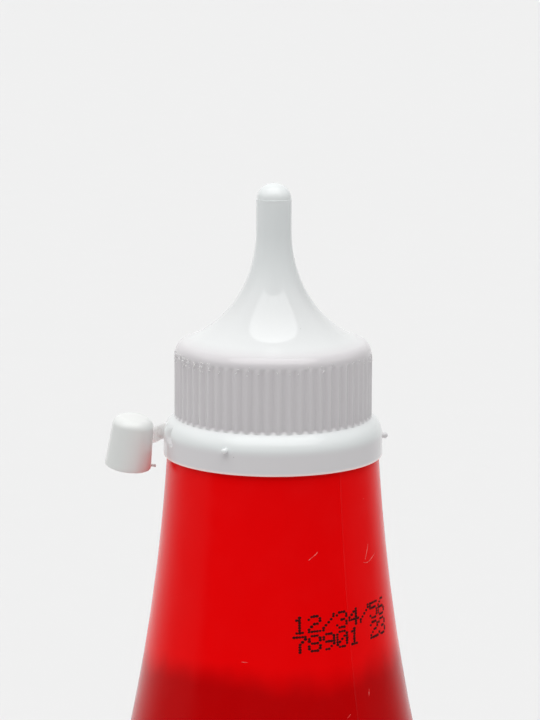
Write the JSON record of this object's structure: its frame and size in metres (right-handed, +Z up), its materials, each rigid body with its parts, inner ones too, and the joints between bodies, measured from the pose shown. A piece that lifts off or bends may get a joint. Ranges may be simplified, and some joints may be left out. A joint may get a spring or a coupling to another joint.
{
  "type": "ketchup bottle",
  "caption": "Tall flared squeeze bottle of ketchup in translucent red plastic, with a ribbed white nozzle closure and a tethered tip cap.",
  "frame": {"origin": "centre of the foot, on the bottle's axis, in the plane it rests on", "axes": "+Z up along the bottle's axis, front facing -Y, tip cap on the -X side"},
  "size_m": [0.084, 0.084, 0.2655],
  "materials": {
    "red_wall": "translucent red blown plastic, soft gloss, with a mould line and fine scratches",
    "ketchup": "thick wet tomato sauce, deep red, with a smeared upper edge",
    "white_moulding": "white moulded plastic, satin gloss",
    "ink": "black dot print, flat"
  },
  "bodies": {
    "root": {"bottle": "red_wall", "ketchup": "ketchup", "closure": "white_moulding", "strap": "white_moulding", "tip_cap": "white_moulding"}
  },
  "joints": []
}
